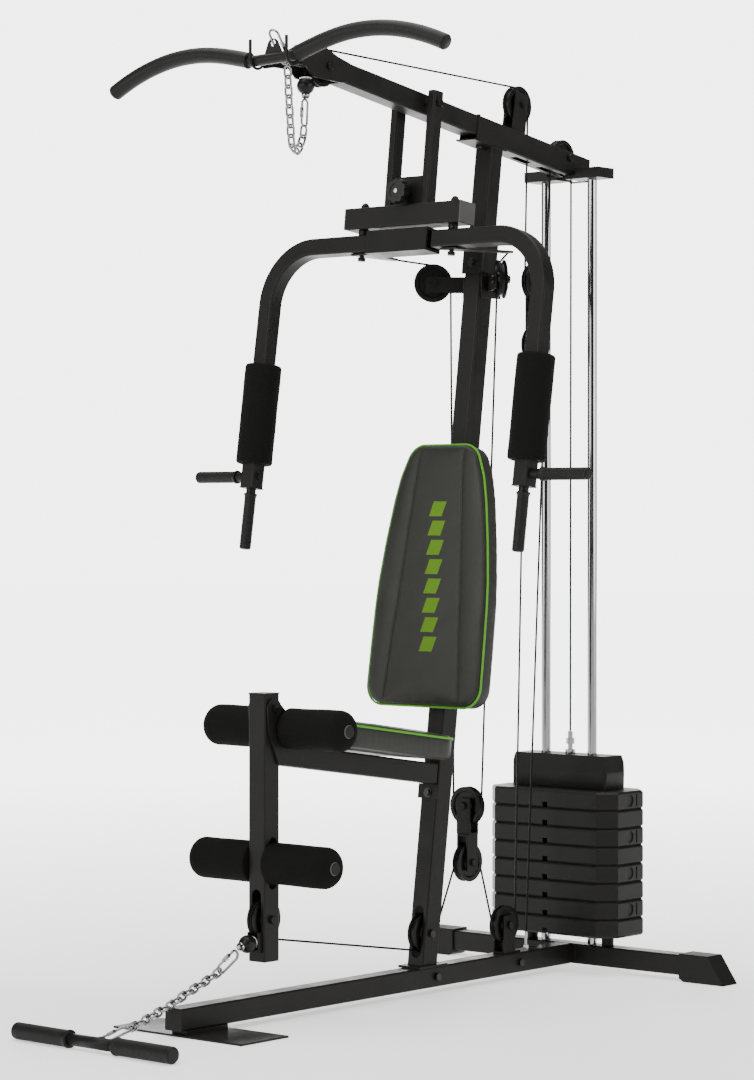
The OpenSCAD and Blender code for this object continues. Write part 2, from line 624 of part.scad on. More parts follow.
module swing_arm(side, inner) {
  leg = arm_x - arm_pivot_x;
  difference() {
    union() {
      arm_frame(side) mirror([side < 0 ? 1 : 0, 0, 0]) {
        translate([-inner, 0, 0]) tube_x(inner + leg - arm_bend, arm_tube, arm_tube);
        translate([leg - arm_bend, 0, -arm_bend]) rotate([90, 0, 0]) rotate_extrude(angle = 90, $fn = 128)
          translate([arm_bend, 0]) difference() {
            rounded_rect(arm_tube, arm_tube, 4);
            square(arm_tube - 2 * wall, center = true);
          }
        translate([leg, 0, -545]) tube_z(545 - arm_bend, arm_tube, arm_tube);
        translate([leg, 0, -543.5]) cube([arm_tube, arm_tube, 3], center = true);
        translate([leg + arm_tube / 2, 0, -518]) rotate([0, 90, 0]) cylinder(r = 11, h = 146, $fn = fine);
        translate([leg, 0, -680]) cylinder(r = 11, h = 135, $fn = fine);
        translate([leg - arm_tube / 2 - 5, 0, -518]) rotate([0, 90, 0]) cylinder(r = 8, h = 5, $fn = 6);
      }
      mirror([side < 0 ? 1 : 0, 0, 0]) site() translate([0, 0, 1627.6]) linear_extrude(4.6)
        polygon([[104, 197], [150, 197], [157, 236], [175, 354], [175, 366], [169, 372], [161, 372], [155, 366], [108, 236]]);
    }
    arm_hole(side);
    mirror([side < 0 ? 1 : 0, 0, 0]) site() translate(tab_hole) cylinder(r = 5.5, h = 40, center = true, $fn = fine);
  }
}
module left_arm() coat() swing_arm(-1, 148);
module right_arm() coat() swing_arm(1, 44);

module arm_grips(side) foam() arm_frame(side) mirror([side < 0 ? 1 : 0, 0, 0]) translate([arm_x - arm_pivot_x, 0, 0]) {
  difference() {
    translate([0, 0, -489]) rotate([0, -90, 0]) foam_roller(226, 41, 10, 0);
    translate([0, 0, -400]) cube([arm_tube + 0.1, arm_tube + 0.1, 300], center = true);
  }
  translate([43, 0, -518]) foam_roller(124, 13.5, 4, 11.01);
  translate([0, 0, -556]) rotate([0, 90, 0]) foam_roller(126, 13.5, 4, 11.01);
}
module left_arm_grips() arm_grips(-1);
module right_arm_grips() arm_grips(1);

module lock_sleeve() coat() arm_frame(-1) difference() {
  translate([30, -25.5, -25.5]) cube([173, 51, 51]);
  translate([0, -20, -20]) cube([300, 40, 40]);
}

// ---- bars ----
function bar_height(x) = x <= 57 ? 0
  : 31 * sin(min(90, (x - 57) / 1.9)) - 0.00116 * pow(max(0, x - 229), 2);
module lat_frame() site() translate(bar_pos) rotate([0, 0, bar_yaw]) rotate([0, -bar_tilt, 0]) children();
module bar_tube(from, to, r, steps) {
  p = [for (k = [0 : steps]) let (x = from + (to - from) * k / steps) [x, 0, bar_height(abs(x))]];
  n = len(p);
  sides = 12;
  rings = [for (i = [0 : n - 1]) let (t = along(p, i), u = [0, 1, 0], v = cross(t, u))
    each [for (k = [0 : sides - 1]) p[i] + r * (cos(360 * k / sides) * u + sin(360 * k / sides) * v)]];
  faces = concat(
    [[for (k = [0 : sides - 1]) k]],
    [for (i = [0 : n - 2], k = [0 : sides - 1])
      [i * sides + k, (i + 1) * sides + k, (i + 1) * sides + (k + 1) % sides, i * sides + (k + 1) % sides]],
    [[for (k = [sides - 1 : -1 : 0]) (n - 1) * sides + k]]);
  polyhedron(rings, faces, convexity = 6);
}

module lat_bar() dark() lat_frame() {
  bar_tube(-446, -64, 17, 16);
  bar_tube(64, 446, 17, 16);
  rotate([0, 90, 0]) cylinder(r = 12, h = 132, center = true, $fn = fine);
  translate([0, 1.5, 0]) rotate([90, 0, 0]) linear_extrude(4) difference() {
    polygon([[-24, 10], [24, 10], [8.5, 43.5], [-8.5, 43.5]]);
    translate([0, 32.6]) circle(r = 7.8, $fn = fine);
  }
}

module row_bar() dark() site() translate(row_pos) rotate([0, 0, -1.6]) {
  for (s = [-1, 1]) translate([s * 148, 0, 0]) rotate([0, s * 90, 0]) translate([0, 0, -82]) {
    cylinder(r = 17.5, h = 156, $fn = fine);
    translate([0, 0, 155.9]) cylinder(r1 = 17.5, r2 = 13, h = 4, $fn = fine);
  }
  rod_x(12.5, 150);
  translate([0, 17, 0]) difference() {
    translate([-2.5, -8, -8]) cube([5, 24, 16]);
    translate([0, 6, 0]) rod_x(4.5, 20);
  }
}

// ---- chains ----
lat_line = [[0, -127, 1872], [0, -133, 1843], [0, -145, 1822], [0, -158, 1818], [0, -167, 1835],
  [2, -172, 1870], [4, -179, 1925], [6.8, -187, 1992]];
low_line = [[0, -385, 119], [0, -433, 101], [0, -493, 81], [0, -534, 64], [0, -577, 53], [0, -620, 39], [0, -646, 34]];

module lat_chain() chrome() {
  ring_link([0, -124.2, 1930], [0, -127, 1874.5], [1, 0, 0], 56.5, 15, 2.2);
  chain(lat_line, 12, 18);
  ring_link([6.8, -236, 2066], [6.8, -188, 1996], [0, 0.825, 0.565], 80, 24, 2.4);
}

module low_chain() chrome() {
  ring_link([0, -333.6, 151.5], [0, -389.6, 118.5], [1, 0, 0], 64, 18, 2.4);
  chain(low_line, 15, 18.2);
  ring_link([0, -643, 36], [0, -724, 18], [0, 0.2, 1], 84, 30, 2.6);
}

module lat_cable() dark() sweep(in_middle(lat_route), cable_r, [1, 0, 0]);
module low_cable() dark() sweep(in_middle(low_route), cable_r, [1, 0, 0]);
module press_cable() dark() sweep(press_route, cable_r, [0, 1, 0]);

base_beam();
front_foot_plate();
rear_stabilizer();
rubber_feet();
lower_upright();
upper_upright();
seat_beam();
seat_pad();
backrest_pad();
boom();
boom_nose();
guide_rods();
upper_foams();
frame_brackets();
frame_bolts();
cable_terminals();
lat_ball();
nose_pulley();
top_pulley();
rear_pulley();
upright_pulley();
base_pulley();
press_pulley_left();
press_pulley_right();
lever_pulley();
low_block_upper_wheel();
low_block_lower_wheel();
high_block_upper_wheel();
high_block_lower_wheel();
low_block_frame();
high_block_frame();
weight_plate_1();
weight_plate_2();
weight_plate_3();
weight_plate_4();
weight_plate_5();
weight_plate_6();
weight_plate_7();
weight_plate_8();
top_weight();
selector_rod();
lever_post();
lower_foams();
low_ball();
press_hanger();
crossbeam_caps();
lock_knob();
left_arm();
right_arm();
left_arm_grips();
right_arm_grips();
lock_sleeve();
lat_bar();
row_bar();
lat_chain();
low_chain();
lat_cable();
press_cable();
low_cable();
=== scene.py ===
import json
import math

import bmesh
import bpy
from mathutils import Matrix, Vector, noise
from mathutils.bvhtree import BVHTree


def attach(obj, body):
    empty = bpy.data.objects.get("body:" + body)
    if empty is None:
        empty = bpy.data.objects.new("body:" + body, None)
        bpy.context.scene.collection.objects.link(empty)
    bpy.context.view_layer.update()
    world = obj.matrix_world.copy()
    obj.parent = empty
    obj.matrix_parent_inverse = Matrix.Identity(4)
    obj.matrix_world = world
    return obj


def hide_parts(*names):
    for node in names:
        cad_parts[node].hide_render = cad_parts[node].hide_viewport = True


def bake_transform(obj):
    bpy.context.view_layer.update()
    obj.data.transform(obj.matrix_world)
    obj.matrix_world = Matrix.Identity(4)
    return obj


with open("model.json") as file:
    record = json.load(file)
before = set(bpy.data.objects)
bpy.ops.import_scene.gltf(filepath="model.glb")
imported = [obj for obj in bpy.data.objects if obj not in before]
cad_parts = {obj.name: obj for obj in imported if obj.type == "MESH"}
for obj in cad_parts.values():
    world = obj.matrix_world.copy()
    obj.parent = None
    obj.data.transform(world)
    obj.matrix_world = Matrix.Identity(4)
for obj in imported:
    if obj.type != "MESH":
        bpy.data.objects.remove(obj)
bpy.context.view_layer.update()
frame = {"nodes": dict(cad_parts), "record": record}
nodes = frame["nodes"]
scene = bpy.context.scene

# ---------------------------------------------------------------- places
# Everything is measured in millimetres from the front zero, as in part.scad.
ORIGIN_Y = 51.9


def at(x, y, z):
    return Vector((x, y - ORIGIN_Y, z)) / 1000


def leaning(x, y, z, lean):
    """Matrix from millimetres in a frame that leans back by so many degrees to metres."""
    turn = Matrix.Rotation(math.radians(-lean), 4, "X")
    return Matrix.Translation(at(x, y, z)) @ turn @ Matrix.Scale(0.001, 4)


# the press frame's pivot bolt (y, z), and how far the frame hangs back
PIVOT = (246, 1955)
PRESS_LEAN = 6.5
PRESS = leaning(0, *PIVOT, PRESS_LEAN)
SEAT = leaning(0, 285, 460, 8)
BACK = leaning(0, 303, 626, 8.2)
SITE = leaning(0, 0, 0, 0)


def arm_frame(side):
    """Frame of one swing arm: origin on its pivot bolt, X outwards along the tube, Z up."""
    lean = math.radians(PRESS_LEAN)
    drop = 306
    m = leaning(side * 128, PIVOT[0] - drop * math.sin(lean), PIVOT[1] - drop * math.cos(lean), 8.7)
    return m @ Matrix.Diagonal((side, 1, 1, 1))


# ---------------------------------------------------------------- camera
turn = math.radians(40.45)
cam = bpy.data.objects.new("camera", bpy.data.cameras.new("camera"))
scene.collection.objects.link(cam)
cam.location = (4.5, -5.168 - ORIGIN_Y / 1000, 1.053)
cam.rotation_euler = (math.pi / 2, 0, turn)
cam.data.lens = 106.7
cam.data.shift_y = -0.023
cam.data.clip_end = 60
scene.camera = cam


# ---------------------------------------------------------------- materials
def node_tree(name):
    m = bpy.data.materials.new(name)
    m.use_nodes = True
    t = m.node_tree
    return m, t, t.nodes["Principled BSDF"]


def add(t, kind, **values):
    n = t.nodes.new("ShaderNode" + kind)
    for key, value in values.items():
        if key in n.inputs:
            n.inputs[key].default_value = value
        else:
            setattr(n, key, value)
    return n


def mix_colour(t, factor, a, b):
    m = t.nodes.new("ShaderNodeMix")
    m.data_type = "RGBA"
    for socket, value in ((0, factor), (6, a), (7, b)):
        if isinstance(value, bpy.types.NodeSocket):
            t.links.new(value, m.inputs[socket])
        else:
            m.inputs[socket].default_value = value if socket == 0 else (*value, 1)
    return m.outputs[2]


def surface(name, colour, rough, metal=0.0, spread=0.14, patch=14, grain=700, relief=0.12, depth=0.0004,
            bevel=0.0, rough_spread=0.07, cells=0.0, paler_tops=0.0, specular=0.5):
    """Procedural surface: patches of tone, uneven gloss, a fine relief, and paler upward-facing surfaces."""
    m, t, p = node_tree(name)
    link = t.links.new
    where = add(t, "TexCoord").outputs["Object"]
    broad = add(t, "TexNoise", Scale=patch, Detail=6.0, Roughness=0.6)
    fine = add(t, "TexNoise", Scale=grain, Detail=3.0, Roughness=0.55)
    for n in (broad, fine):
        link(where, n.inputs["Vector"])
    low = [c * (1 - spread) for c in colour]
    high = [min(1, c * (1 + spread)) for c in colour]
    tone = mix_colour(t, broad.outputs["Fac"], low, high)
    speck = add(t, "MapRange", **{"From Min": 0.35, "From Max": 0.75, "To Min": 0.0, "To Max": 0.35})
    link(fine.outputs["Fac"], speck.inputs["Value"])
    tone = mix_colour(t, speck.outputs["Result"], tone, [c * 0.7 for c in colour])
    # upward-facing surfaces are mixed towards a pale grey, more the further they face up
    if paler_tops:
        up = add(t, "SeparateXYZ")
        link(add(t, "NewGeometry").outputs["Normal"], up.inputs["Vector"])
        flat = add(t, "MapRange", **{"From Min": 0.6, "From Max": 1.0, "To Min": 0.0, "To Max": paler_tops})
        link(up.outputs["Z"], flat.inputs["Value"])
        tone = mix_colour(t, flat.outputs["Result"], tone, (0.32, 0.31, 0.29))
    link(tone, p.inputs["Base Color"])
    gloss = add(t, "MapRange", **{"From Min": 0.3, "From Max": 0.7, "To Min": max(0.02, rough - rough_spread),
                                  "To Max": min(1, rough + rough_spread)})
    link(broad.outputs["Fac"], gloss.inputs["Value"])
    link(gloss.outputs["Result"], p.inputs["Roughness"])
    bump = add(t, "Bump", Strength=relief, Distance=depth)
    height = fine.outputs["Fac"]
    if cells:
        cell = add(t, "TexVoronoi", Scale=cells)
        link(where, cell.inputs["Vector"])
        both = add(t, "Math", operation="ADD")
        link(cell.outputs["Distance"], both.inputs[0])
        link(fine.outputs["Fac"], both.inputs[1])
        height = both.outputs[0]
    link(height, bump.inputs["Height"])
    if bevel:
        edge = add(t, "Bevel", Radius=bevel, samples=4)
        link(edge.outputs["Normal"], bump.inputs["Normal"])
    link(bump.outputs["Normal"], p.inputs["Normal"])
    p.inputs["Metallic"].default_value = metal
    p.inputs["Specular IOR Level"].default_value = specular
    return m


MATS = {
    "powder_coat": surface("powder coat", (0.0096, 0.0095, 0.008), 0.38, grain=1500, relief=0.25, depth=0.0002,
                           bevel=0.0016, paler_tops=0.01, specular=0.12),
    "foot_plastic": surface("foot plastic", (0.0075, 0.0075, 0.0066), 0.5, grain=900, bevel=0.0025, paler_tops=0.015,
                            specular=0.14),
    "cover": surface("imitation leather", (0.0205, 0.0212, 0.0168), 0.42, grain=1300, cells=520, relief=0.32,
                     depth=0.0003, spread=0.1, patch=9, specular=0.17),
    "chrome": surface("chrome", (0.36, 0.36, 0.37), 0.1, metal=1.0, spread=0.04, grain=500, relief=0.02,
                      rough_spread=0.04, bevel=0.0005),
    "chain_steel": surface("chain steel", (0.24, 0.24, 0.245), 0.13, metal=1.0, spread=0.3, patch=90, grain=500,
                           relief=0.04, rough_spread=0.06),
    "foam": surface("foam", (0.005, 0.005, 0.0045), 0.9, grain=1100, cells=700, relief=0.5, depth=0.0005,
                    spread=0.25, patch=30, specular=0.08),
    "fasteners": surface("black fasteners", (0.006, 0.006, 0.0055), 0.26, grain=800, bevel=0.0008, specular=0.3),
    "stop_rubber": surface("stop rubber", (0.004, 0.004, 0.0038), 0.36, grain=600, relief=0.15, specular=0.2),
    "pulley_plastic": surface("pulley plastic", (0.0045, 0.0045, 0.004), 0.34, grain=400, relief=0.12, bevel=0.0008,
                              specular=0.17),
    "weight_plastic": surface("weight plastic", (0.0084, 0.0084, 0.0072), 0.4, grain=650, relief=0.3, bevel=0.002,
                              paler_tops=0.012, spread=0.2, specular=0.14),
    "cap_plastic": surface("cap plastic", (0.045, 0.045, 0.041), 0.45, grain=500, bevel=0.0015),
    "knob_plastic": surface("knob plastic", (0.006, 0.006, 0.0055), 0.3, grain=600, bevel=0.0012, specular=0.3),
    "grip_rubber": surface("grip rubber", (0.0042, 0.0042, 0.0038), 0.5, grain=900, relief=0.3, specular=0.2),
    "cable": surface("coated cable", (0.0045, 0.0045, 0.004), 0.4, grain=1500, relief=0.2, specular=0.12),
    "piping": surface("green piping", (0.065, 0.27, 0.004), 0.5, grain=900, relief=0.25, spread=0.12, patch=40,
                      specular=0.3),
    "print": surface("green print", (0.075, 0.175, 0.002), 0.6, grain=1300, cells=520, relief=0.3, depth=0.0003,
                     patch=30, specular=0.2),
    "thread": surface("thread", (0.008, 0.008, 0.008), 0.7, grain=2500, relief=0.5),
    "plug": surface("roller plug", (0.05, 0.05, 0.048), 0.45, grain=700, bevel=0.001),
    "white_metal": surface("white metal", (0.62, 0.62, 0.6), 0.35, metal=0.7, grain=500),
    "floor": surface("pale floor", (0.86, 0.86, 0.86), 0.6, spread=0.01, patch=1.2, grain=90, relief=0.02),
}
slot_of = {s["node"]: s["material_slot"] for s in frame["record"]["subparts"]}
for name, o in nodes.items():
    o.data.materials.clear()
    o.data.materials.append(MATS[slot_of[name]])


# ---------------------------------------------------------------- meshes
def mesh_object(name, verts, faces, mat, smooth=True):
    name = name.replace(" ", "_")
    me = bpy.data.meshes.new(name)
    me.from_pydata([tuple(v) for v in verts], [], faces)
    me.update()
    o = bpy.data.objects.new(name, me)
    scene.collection.objects.link(o)
    me.materials.append(MATS[mat])
    if smooth:
        me.polygons.foreach_set("use_smooth", [True] * len(me.polygons))
    return o


def joined(name, parts):
    """One object made of several meshes, materials kept."""
    name = name.replace(" ", "_") + "_set"
    bm = bmesh.new()
    mats = []
    for o in parts:
        start = len(bm.faces)
        bm.from_mesh(o.data)
        bm.faces.ensure_lookup_table()
        for k in range(start, len(bm.faces)):
            m = o.data.materials[bm.faces[k].material_index]
            if m not in mats:
                mats.append(m)
            bm.faces[k].material_index = mats.index(m)
    me = bpy.data.meshes.new(name)
    bm.to_mesh(me)
    bm.free()
    for m in mats:
        me.materials.append(m)
    out = bpy.data.objects.new(name, me)
    scene.collection.objects.link(out)
    for o in parts:
        bpy.data.objects.remove(o)
    return out


def tube(name, pts, r, mat, sides=14, closed=False, hint=(1, 0, 0), bumps=None):
    """Round tube along points in metres; bumps(i, n) scales the radius of ring i."""
    n = len(pts)
    verts, faces = [], []
    u = None
    for i, p in enumerate(pts):
        if closed:
            t = (pts[(i + 1) % n] - pts[i - 1]).normalized()
        else:
            t = (pts[min(i + 1, n - 1)] - pts[max(i - 1, 0)]).normalized()
        ref = Vector(hint) if u is None else u
        u = (ref - t * ref.dot(t)).normalized()
        v = t.cross(u)
        rr = r * (bumps(i, n) if bumps else 1)
        for k in range(sides):
            a = 2 * math.pi * k / sides
            verts.append(p + rr * (math.cos(a) * u + math.sin(a) * v))
    last = n if closed else n - 1
    for i in range(last):
        j = (i + 1) % n
        for k in range(sides):
            after = (k + 1) % sides
            faces.append((i * sides + k, i * sides + after, j * sides + after, j * sides + k))
    if not closed:
        faces.append(tuple(range(sides - 1, -1, -1)))
        faces.append(tuple((n - 1) * sides + k for k in range(sides)))
    return mesh_object(name, verts, faces, mat)


def lathe(name, profile, matrix, mat, sides=64, wobble=0.0, seed=0.0):
    """Profile of (radius, height) in millimetres turned round the matrix's Z; wobble is an uneven surface."""
    verts, faces = [], []
    for i, (r, h) in enumerate(profile):
        for k in range(sides):
            a = 2 * math.pi * k / sides
            p = Vector((r * math.cos(a), r * math.sin(a), h))
            if wobble and r > 1:
                w = noise.noise(Vector((p.x * 0.02 + seed, p.y * 0.02, p.z * 0.014))) * wobble
                p.x *= 1 + w / r
                p.y *= 1 + w / r
            verts.append(matrix @ p)
    for i in range(len(profile) - 1):
        for k in range(sides):
            a, b = i * sides + k, i * sides + (k + 1) % sides
            faces.append((a, b, b + sides, a + sides))
    o = mesh_object(name, verts, faces, mat)
    bm = bmesh.new()
    bm.from_mesh(o.data)
    bmesh.ops.remove_doubles(bm, verts=bm.verts, dist=1e-6)
    bmesh.ops.holes_fill(bm, edges=[e for e in bm.edges if e.is_boundary], sides=0)
    bmesh.ops.recalc_face_normals(bm, faces=bm.faces)
    for f in bm.faces:
        f.smooth = len(f.verts) <= 4
    bm.to_mesh(o.data)
    bm.free()
    return o


def spaced(points, step, closed=False):
    """The same line with points at even steps."""
    pts = list(points) + ([points[0]] if closed else [])
    lengths = [(b - a).length for a, b in zip(pts, pts[1:])]
    total = sum(lengths)
    count = max(2, round(total / step))
    out, seg, done = [], 0, 0.0
    for k in range(count if closed else count + 1):
        s = total * k / count
        while seg < len(lengths) - 1 and done + lengths[seg] < s:
            done += lengths[seg]
            seg += 1
        f = (s - done) / lengths[seg] if lengths[seg] else 0
        out.append(pts[seg].lerp(pts[seg + 1], min(1, max(0, f))))
    return out


def smooth_line(points, step):
    """Catmull-Rom curve through the points."""
    out = []
    for i in range(len(points) - 1):
        a, b = points[max(i - 1, 0)], points[i]
        c, d = points[i + 1], points[min(i + 2, len(points) - 1)]
        for k in range(8):
            t = k / 8
            out.append(0.5 * ((2 * b) + (c - a) * t + (2 * a - 5 * b + 4 * c - d) * t * t
                              + (3 * b - a - 3 * c + d) * t * t * t))
    out.append(points[-1])
    return spaced(out, step)


# ---------------------------------------------------------------- cushions
def hull_outline(circles, step):
    """Convex outline round circles of (u, v, r), at even steps."""
    pts = []
    for u, v, r in circles:
        for k in range(72):
            a = 2 * math.pi * k / 72
            pts.append((u + r * math.cos(a), v + r * math.sin(a)))
    pts = sorted(set((round(x, 4), round(y, 4)) for x, y in pts))

    def half(points):
        out = []
        for p in points:
            while len(out) > 1 and ((out[-1][0] - out[-2][0]) * (p[1] - out[-2][1])
                                    - (out[-1][1] - out[-2][1]) * (p[0] - out[-2][0])) <= 0:
                out.pop()
            out.append(p)
        return out[:-1]
    ring = half(pts) + half(pts[::-1])
    return spaced([Vector((x, y, 0)) for x, y in ring], step, closed=True)


VOXEL = 0.005
CLOTH_FRAMES = 20
MOST_MOVE = 0.006


def cushion(name, circles, pipe, crown, to_frame, seams=(), seed=0.0):
    """Stuffed pad: u, v across, w outwards from its board. Its edge cord lies at height pipe."""
    ring = hull_outline(circles, 5)
    vs = [p.y for p in ring]
    width = max(p.x for p in ring)
    low, high = min(vs) + width * 0.75, max(vs) - width * 0.6
    levels = [(0.10, 0), (0.03, 0.5), (0.004, 5), (0.0, 14), (-0.002, pipe * 0.5), (0.0, pipe - 10),
              (0.003, pipe - 3), (0.010, pipe - 0.5)]
    for k in range(1, 7):
        a = math.pi / 12 * k
        levels.append((0.008 + 0.10 * (1 - math.cos(a)), pipe + 0.5 + 0.78 * crown * math.sin(a)))
    for k in range(1, 12):
        t = k / 11
        levels.append((0.108 + 0.88 * t, pipe + 0.5 + crown * (0.78 + 0.22 * (1 - (1 - t) ** 2))))
    verts, faces = [], []
    n = len(ring)
    for inset, w in levels:
        for p in ring:
            c = Vector((0, min(high, max(low, p.y)), 0))
            q = p.lerp(c, inset)
            verts.append(Vector((q.x, q.y, w)))
    for i in range(len(levels) - 1):
        for k in range(n):
            a, b = i * n + k, i * n + (k + 1) % n
            faces.append((a, b, b + n, a + n))
    faces.append(tuple(range(n - 1, -1, -1)))
    faces.append(tuple((len(levels) - 1) * n + k for k in range(n)))
    o = mesh_object(name, [v / 1000 for v in verts], faces, "cover")
    rm = o.modifiers.new("remesh", "REMESH")
    rm.mode = "VOXEL"
    rm.voxel_size = VOXEL
    scene.view_layers[0].update()
    dg = bpy.context.evaluated_depsgraph_get()
    me = bpy.data.meshes.new_from_object(o.evaluated_get(dg))
    o.modifiers.clear()
    o.data = me
    edge = [p / 1000 for p in ring]

    def to_edge(p):
        return min((Vector((p.x, p.y, 0)) - q).length for q in edge)

    def to_seam(p):
        return min([abs(p.x * 1000 - line(p.y * 1000)) for line in seams] or [99])
    rest = [v.co.copy() for v in me.vertices]
    near = [to_edge(p) for p in rest]
    group = o.vertex_groups.new(name="held")
    for v, d in zip(me.vertices, near):
        w = v.co.z * 1000
        held = 1.0 if w < 9 else 0.0
        if abs(w - pipe) < 5 and d < 0.006:
            held = 1.0
        if w > pipe - 2 and to_seam(v.co) < 5 and 14 < v.co.y * 1000 - min(vs) < max(vs) - min(vs) - 14:
            held = 1.0
        if held:
            group.add([v.index], held, "REPLACE")
    cl = o.modifiers.new("cloth", "CLOTH")
    cs = cl.settings
    cs.quality = 4
    cs.mass = 0.25
    cs.tension_stiffness = cs.compression_stiffness = 14
    cs.shear_stiffness = 4
    cs.bending_stiffness = 1.2
    cs.vertex_group_mass = "held"
    cs.use_pressure = True
    cs.uniform_pressure_force = 4
    cs.effector_weights.gravity = 0
    cl.point_cache.frame_start, cl.point_cache.frame_end = 1, CLOTH_FRAMES
    for f in range(1, CLOTH_FRAMES + 1):
        scene.frame_set(f)
    dg = bpy.context.evaluated_depsgraph_get()
    soft = bpy.data.meshes.new_from_object(o.evaluated_get(dg))
    o.modifiers.clear()
    for v, p in zip(soft.vertices, rest):
        move = v.co - p
        if move.length > MOST_MOVE:
            v.co = p + move * MOST_MOVE / move.length
    o.data = soft
    scene.frame_set(1)
    # small puckers along the cord and beside the seams, and a worn, slightly uneven top
    for v, d in zip(o.data.vertices, near):
        w = v.co.z * 1000
        if w > 9:
            p = v.co * 1000
            side = math.atan2(p.y - (low + high) / 2, p.x)
            pull = math.exp(-((d / 0.014) ** 2)) * math.sin(side * 61 + 3 * noise.noise(p * 0.03)) * 0.35
            wave = noise.noise(p * 0.012 + Vector((seed, 0, 0))) * 1.0 + noise.noise(p * 0.03) * 0.35
            if w > pipe:
                v.co.z += (pull + wave) / 1000 * min(1, d / 0.01)
                s = to_seam(v.co)
                if s < 14:
                    v.co.z -= 0.0016 * math.exp(-((s / 2.6) ** 2))
                    v.co.z += 0.0005 * math.sin(p.y * 0.33 + p.x) * math.exp(-((s / 8) ** 2))
            else:
                v.co.x += pull * 0.0004 * (1 if v.co.x > 0 else -1)
    sub = o.modifiers.new("finer", "SUBSURF")
    sub.levels = sub.render_levels = 1
    dg = bpy.context.evaluated_depsgraph_get()
    me = bpy.data.meshes.new_from_object(o.evaluated_get(dg))
    o.modifiers.clear()
    o.data = me
    me.polygons.foreach_set("use_smooth", [True] * len(me.polygons))
    tree = BVHTree.FromObject(o, bpy.context.evaluated_depsgraph_get())

    def on_top(u, v, lift=0.0):
        hit = tree.ray_cast(Vector((u, v, 200)) / 1000, Vector((0, 0, -1)))[0]
        return Vector((u, v, (hit.z * 1000 if hit else pipe) + lift))
    o.data.transform(to_frame)
    extras = []
    middle = sum(vs) / n
    widen = 1 + 1.2 / width
    cord_line = [to_frame @ (Vector((p.x * widen, p.y + (1.0 if p.y > middle else -1.0), pipe)) / 1000)
                 for p in ring]
    cord = tube(name + " piping", spaced(cord_line, 0.0045, closed=True), 0.0025, "piping", closed=True,
                bumps=lambda i, n: 1 + 0.03 * math.sin(i * 1.7))
    extras.append(cord)
    # a row of stitches inside the cord, and one on either side of each seam
    stitches = []
    row = spaced(ring, 6.2, closed=True)
    for i, p in enumerate(row):
        q = row[(i + 1) % len(row)]
        c = Vector((0, min(high, max(low, p.y)), 0))
        inward = (c - p).normalized() * 8
        a, b = p + inward, p.lerp(q, 0.62) + inward
        bow = on_top((a.x + b.x) / 2, (a.y + b.y) / 2, 0.35)
        stitches.append(([on_top(a.x, a.y, -0.1), bow, on_top(b.x, b.y, -0.1)], 0.42))
    for line in seams:
        for sign in (-3.4, 3.4):
            v = min(vs) + 10
            while v < max(vs) - 12:
                a, b = (line(v) + sign, v), (line(v + 4) + sign, v + 4)
                bow = on_top((a[0] + b[0]) / 2, (a[1] + b[1]) / 2, 0.4)
                stitches.append(([on_top(*a, lift=-0.1), bow, on_top(*b, lift=-0.1)], 0.5))
                v += 6.4
        v = min(vs) + 8
        deep = []
        while v < max(vs) - 8:
            deep.append(on_top(line(v), v, 0.1))
            v += 8
        extras.append(tube(name + " seam", [to_frame @ (q / 1000) for q in deep], 0.0011, "thread", sides=8))
    parts = [tube("stitch", [to_frame @ (q / 1000) for q in pts], r / 1000, "thread", sides=5)
             for pts, r in stitches]
    extras.append(joined(name + " stitches", parts))
    for e in [o] + extras:
        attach(e, "frame")
    return o, on_top


SEAT_IN = SEAT @ Matrix.Translation((0, -252, 51)) @ Matrix.Scale(1000, 4)
BACK_IN = BACK @ Matrix(((1, 0, 0, 0), (0, 0, -1, 0), (0, 1, 0, 0), (0, 0, 0, 1))) @ Matrix.Scale(1000, 4)
seat = cushion("seat cushion", [(s * 90, t * 146, 40) for s in (-1, 1) for t in (-1, 1)], 46, 9, SEAT_IN,
               seed=3.1)[0]
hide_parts("seat_pad")
BACK_SIDE = ((115, 46, 45), (107, 130, 52), (99, 221, 58), (94, 270, 60), (84, 356, 60), (70, 446, 60),
             (64, 495, 55), (56, 534, 48))
back, back_top = cushion("backrest cushion", [(s * u, v, r) for s in (-1, 1) for u, v, r in BACK_SIDE], 42, 12,
                         BACK_IN, seams=[lambda v, s=s: s * (108 - 0.082 * v) for s in (-1, 1)], seed=8.4)
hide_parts("backrest_pad")

# plain printed blocks in a column on the backrest, slanted, with no meaning
verts, faces = [], []
GRID = 5
for row in range(8):
    v0 = 120 + row * 43
    for i in range(GRID):
        for j in range(GRID):
            v = v0 + 33 * j / (GRID - 1)
            u = -14 + 36 * i / (GRID - 1) - 0.025 * (v - 300) + (v - v0) * 0.35
            verts.append(BACK_IN @ (back_top(u, v, 0.25) / 1000))
    base = row * GRID * GRID
    for i in range(GRID - 1):
        for j in range(GRID - 1):
            a = base + i * GRID + j
            faces.append((a, a + GRID, a + GRID + 1, a + 1))
mark = mesh_object("printed blocks", verts, faces, "print")
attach(mark, "frame")


# ---------------------------------------------------------------- foam rollers and arm pads
def rounded_profile(r, length, nose, bore, rings=10):
    """Half outline of a foam sleeve from its inner end to its rounded outer end."""
    out = [(bore, 0.0), (r - 3, 0.0), (r - 1, 0.8), (r, 3.0)]
    steps = max(4, int(length / 8))
    for k in range(1, steps):
        out.append((r, 3 + (length - nose - 3) * k / steps))
    for k in range(rings + 1):
        a = math.pi / 2 * k / rings
        out.append((r - nose + nose * math.cos(a), length - nose + nose * math.sin(a)))
    out.append((bore, length))
    return out


def sideways(x, y, z, side):
    """Matrix in millimetres whose Z points to the side."""
    return SITE @ Matrix.Translation((x, y, z)) @ Matrix.Rotation(math.radians(90 * side), 4, "Y")


